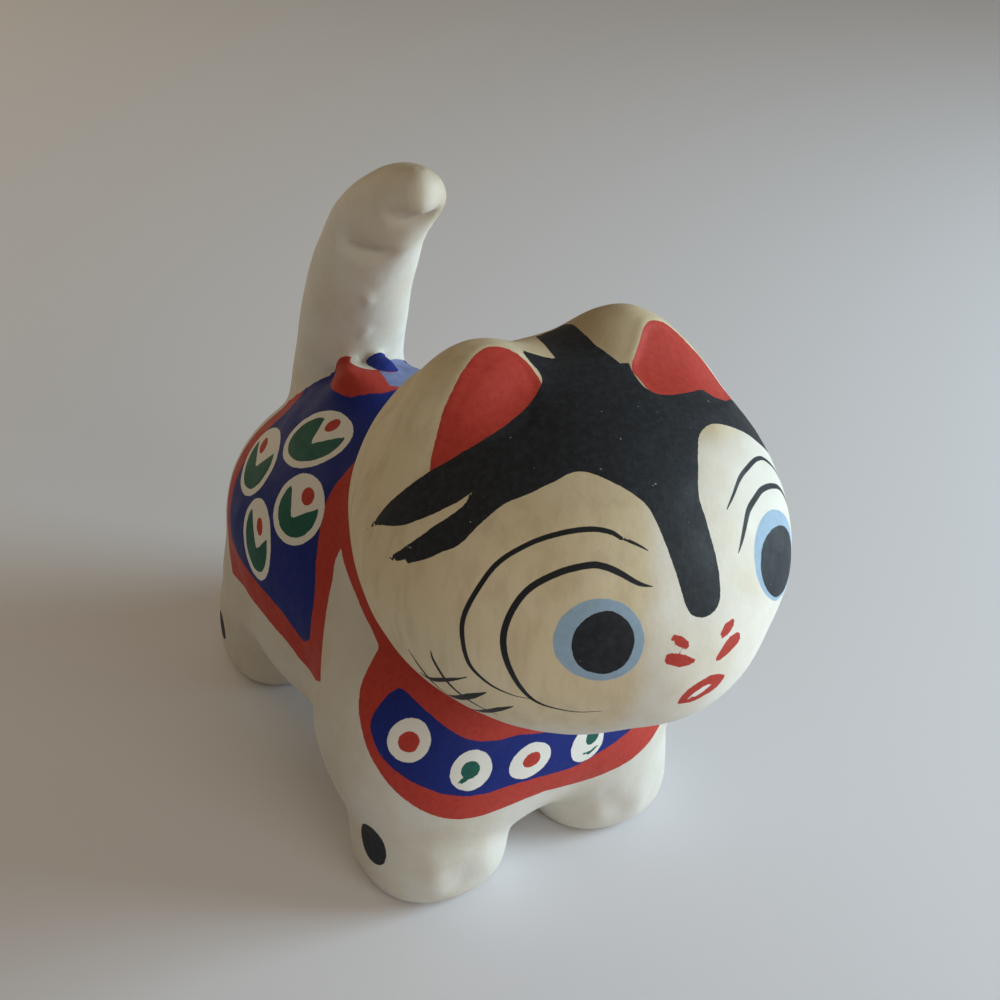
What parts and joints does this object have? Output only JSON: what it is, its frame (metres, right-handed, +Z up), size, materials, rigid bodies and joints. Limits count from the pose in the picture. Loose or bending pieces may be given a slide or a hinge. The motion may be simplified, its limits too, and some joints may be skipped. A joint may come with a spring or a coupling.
{
  "type": "papier-mache animal ornament",
  "caption": "Painted papier-mache animal, cat-faced with a round head, low ears, short legs, an upright curling tail and a painted saddle cloth and bib; stands as an ornament.",
  "frame": {"origin": "on the ground, under the middle of the figure's bounding box", "axes": "+Z up, -Y the way the animal faces, +X its left side"},
  "size_m": [0.0766, 0.1468, 0.1272],
  "materials": {
    "painted_papier_mache": "satin white chalk paint over paper, with black, red, ultramarine, green and light blue brushwork"
  },
  "bodies": {
    "root": {"papier_mache_shell": "painted_papier_mache"}
  },
  "joints": []
}
